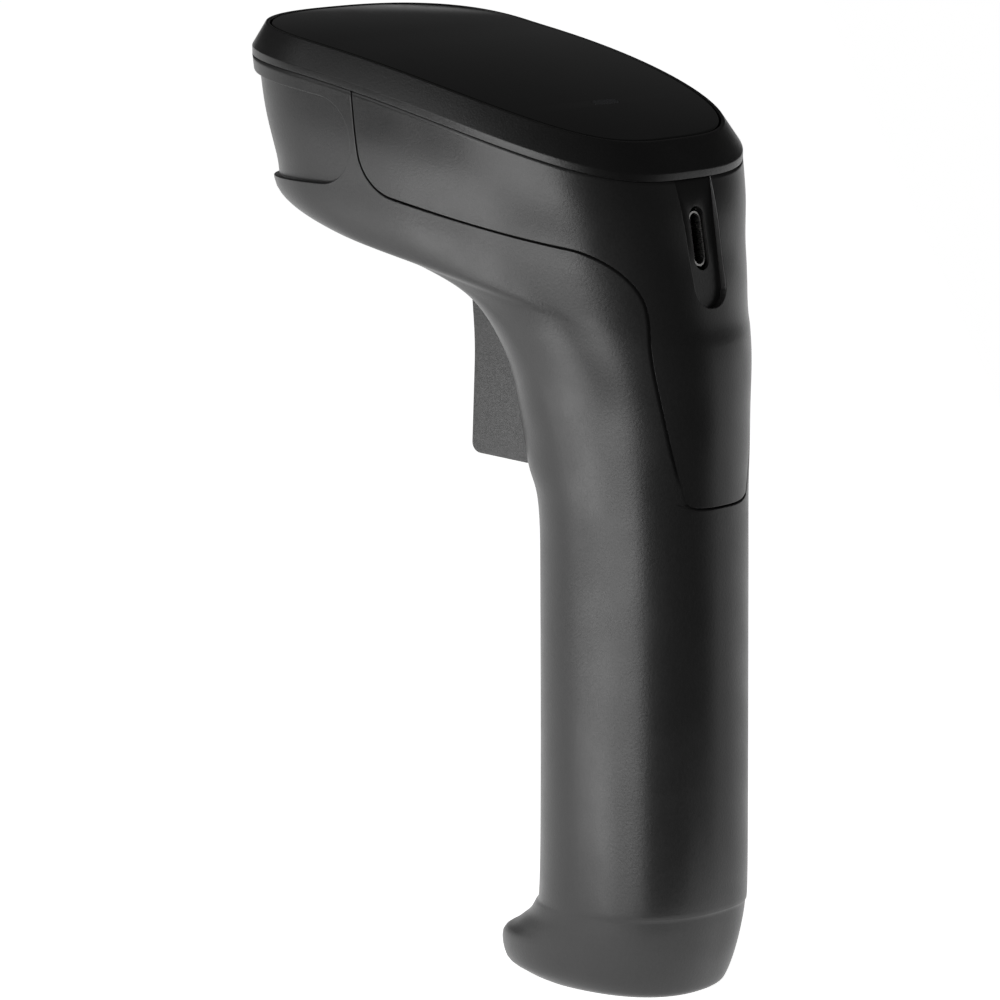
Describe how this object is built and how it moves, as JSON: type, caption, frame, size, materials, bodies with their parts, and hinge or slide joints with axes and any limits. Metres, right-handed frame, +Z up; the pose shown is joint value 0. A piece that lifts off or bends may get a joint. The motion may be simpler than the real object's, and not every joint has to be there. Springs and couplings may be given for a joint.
{
  "type": "handheld barcode scanner",
  "caption": "Cordless pistol-grip barcode scanner with a front scan window, sprung finger trigger, rear charging port and glossy top panel.",
  "frame": {"origin": "on the grip's axis, on the flat underside of the base", "axes": "+Z up along the grip, -Y the way the scan window looks, symmetric about X = 0"},
  "size_m": [0.0624, 0.0856, 0.1586],
  "materials": {
    "grip_plastic": "fine soft-touch spark texture, charcoal",
    "cover_plastic": "satin charcoal, slightly smoother than the grip",
    "bezel_plastic": "fine leather-grain texture, black",
    "gloss_panel": "polished black",
    "trigger_plastic": "coarse spark texture, dark grey",
    "light_pipe": "translucent smoke",
    "scan_window_glass": "clear dark red acrylic",
    "lens_glass": "coated lens",
    "foam": "closed-cell foam",
    "circuit_board": "green solder mask",
    "chip_plastic": "black moulding compound",
    "steel": "plain bright steel",
    "bracket_plastic": "moulded dark grey",
    "battery_sleeve": "blue shrink sleeve over the can",
    "red_insulation": "flexible red insulation",
    "black_insulation": "flexible black insulation",
    "connector_plastic": "natural nylon",
    "engine_plastic": "glass-filled black"
  },
  "bodies": {
    "scanner_body": {"main_housing": "grip_plastic", "back_cover": "cover_plastic", "top_bezel": "bezel_plastic", "top_inlay": "gloss_panel", "indicator_light_pipe": "light_pipe", "illumination_lens": "light_pipe", "scan_window": "scan_window_glass", "imaging_lens": "lens_glass", "aimer_lens": "lens_glass", "window_gasket": "foam", "battery_pad": "foam", "main_board": "circuit_board", "engine_board": "circuit_board", "port_board": "circuit_board", "switch_board": "circuit_board", "processor_chip": "chip_plastic", "buzzer": "chip_plastic", "lens_barrel": "chip_plastic", "charge_port_tongue": "chip_plastic", "trigger_switch": "chip_plastic", "trigger_pin": "steel", "trigger_spring": "steel", "charge_port_shell": "steel", "radio_module": "steel", "engine_bracket": "steel", "cover_screw_right": "steel", "cover_screw_left": "steel", "engine_screw_right": "steel", "engine_screw_left": "steel", "board_screw_right": "steel", "board_screw_left": "steel", "trigger_bracket": "bracket_plastic", "battery_cradle": "bracket_plastic", "battery_cell": "battery_sleeve", "battery_lead_red": "red_insulation", "battery_lead_black": "black_insulation", "battery_connector": "connector_plastic", "status_led": "connector_plastic", "engine_housing": "engine_plastic"},
    "trigger": {"trigger": "trigger_plastic"},
    "switch_plunger": {"switch_plunger": "bracket_plastic"}
  },
  "joints": [
    {"name": "trigger_pull", "type": "hinge", "parent": "scanner_body", "child": "trigger", "pos_m": [0, -0.0205, 0.118], "axis": [1, 0, 0], "range_deg": [0, 4.5], "stiffness_Nm_per_rad": 0.4, "springref_deg": -4.58, "deforming": ["trigger_spring"]},
    {"name": "plunger_press", "type": "slide", "parent": "scanner_body", "child": "switch_plunger", "axis": [0, 1, 0], "range_m": [0, 0.00145]}
  ],
  "couplings": [
    {"joint": "plunger_press", "follows": "trigger_pull", "m_per_rad": 0.018}
  ]
}
